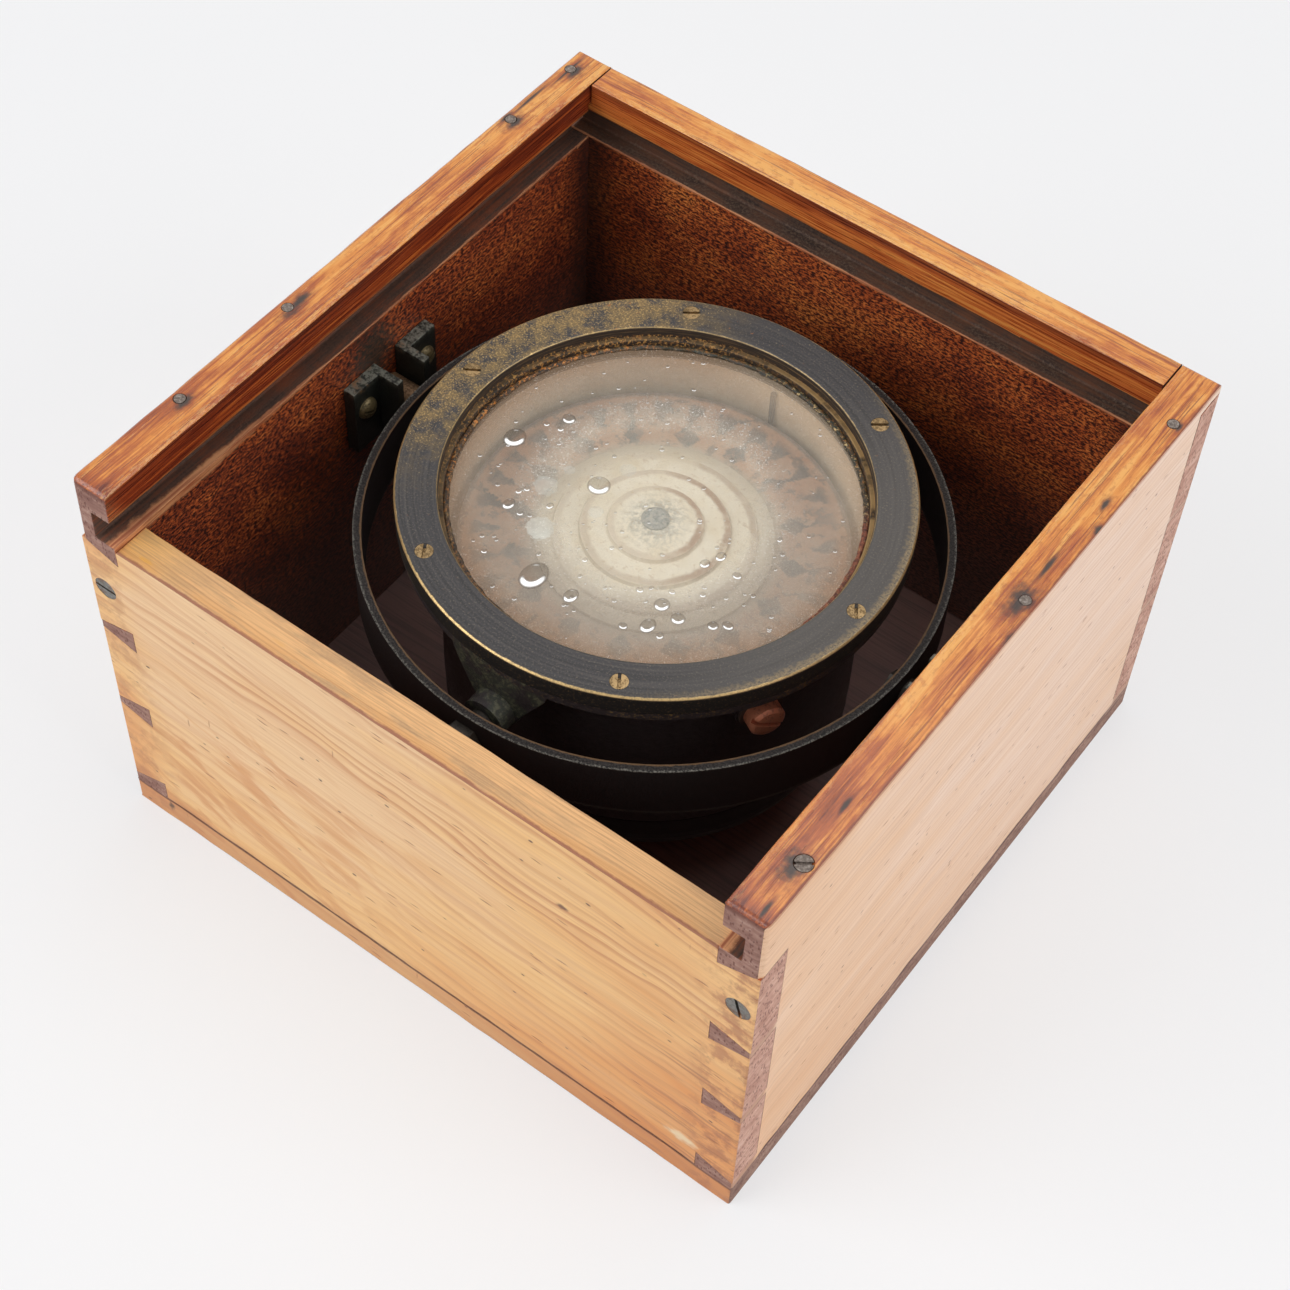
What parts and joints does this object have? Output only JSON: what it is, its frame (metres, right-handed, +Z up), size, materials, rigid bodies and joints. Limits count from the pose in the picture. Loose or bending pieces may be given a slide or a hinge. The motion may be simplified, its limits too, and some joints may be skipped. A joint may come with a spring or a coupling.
{
  "type": "gimbal compass",
  "caption": "Liquid boat compass with a floating card, hung in a gimbal ring inside an open dovetailed pine box grooved for a sliding lid.",
  "frame": {"origin": "middle of the box's underside, on the surface it stands on", "axes": "+X from the left wall to the right wall, along the ring's axis; +Y from the low front wall to the back wall, along the bowl's axis; +Z up"},
  "size_m": [0.22, 0.216, 0.148],
  "materials": {
    "pine_left": "old varnish, worn to bare wood at the edges, dark red-brown inside",
    "pine_right": "pale bare pine outside, varnished top edge, dark red-brown inside",
    "pine_front": "honey-yellow pine with wavy grain, dark red-brown inside",
    "pine_back": "old varnish, worn at the edges, dark red-brown inside",
    "pine_bottom": "dark stained inside, bare outside",
    "old_steel": "dull, darkened",
    "dark_bronze": "black-green patina with verdigris and worn edges",
    "screw_brass": "tan brass, dull",
    "ring_black": "blackened, edges worn to grey and brass",
    "worn_brass": "dull brass",
    "bowl_black": "black with verdigris blooms",
    "weight_lead": "dull grey lead",
    "seal_rubber": "perished brown",
    "glass": "clear, hazy at the edge",
    "putty": "crusty orange-brown putty",
    "bezel_bronze": "grey-bronze patina, bright worn edges",
    "plug_copper": "reddish copper, worn",
    "card_paper": "faded red-brown card with blue-grey points",
    "float_cream": "cream enamel, aged",
    "hub_grey": "blue-grey",
    "jewel_red": "polished stone cup"
  },
  "bodies": {
    "box": {"left_wall": "pine_left", "right_wall": "pine_right", "front_wall": "pine_front", "back_wall": "pine_back", "bottom_board": "pine_bottom", "front_wall_screws": "old_steel", "top_edge_nails": "old_steel", "top_edge_screw": "old_steel", "bottom_nails": "old_steel", "bracket_left": "dark_bronze", "bracket_right": "dark_bronze", "bracket_screws": "screw_brass"},
    "ring": {"gimbal_ring": "ring_black", "trunnion_left": "worn_brass", "trunnion_right": "worn_brass", "trunnion_nuts": "worn_brass", "pivot_screw_front": "worn_brass", "pivot_screw_back": "worn_brass", "pivot_lock_nuts": "worn_brass"},
    "bowl": {"bowl_body": "bowl_black", "bowl_bottom": "bowl_black", "bottom_screws": "screw_brass", "lead_weight": "weight_lead", "diaphragm": "worn_brass", "pivot_bridge": "worn_brass", "bridge_screws": "screw_brass", "pivot_post": "worn_brass", "pivot_needle": "old_steel", "lubber_line": "bowl_black", "glass_seal": "seal_rubber", "glass": "glass", "putty_bead": "putty", "bezel_gasket": "putty", "bezel_ring": "bezel_bronze", "bezel_screws": "screw_brass", "filler_plug": "plug_copper", "plug_washer": "dark_bronze"},
    "card": {"compass_card": "card_paper", "float_dome": "float_cream", "float_base": "float_cream", "magnets": "old_steel", "jewel_cap": "hub_grey", "jewel_cup": "jewel_red"}
  },
  "joints": [
    {"name": "ring_tilt", "type": "hinge", "parent": "box", "child": "ring", "pos_m": [0, 0, 0.1], "axis": [1, 0, 0], "range_deg": [-45, 45]},
    {"name": "bowl_tilt", "type": "hinge", "parent": "ring", "child": "bowl", "pos_m": [0, 0, 0.1], "axis": [0, 1, 0], "range_deg": [-35, 35]},
    {"name": "card_spin", "type": "hinge", "parent": "bowl", "child": "card", "pos_m": [0, 0, 0.1], "axis": [0, 0, 1], "continuous": true}
  ]
}
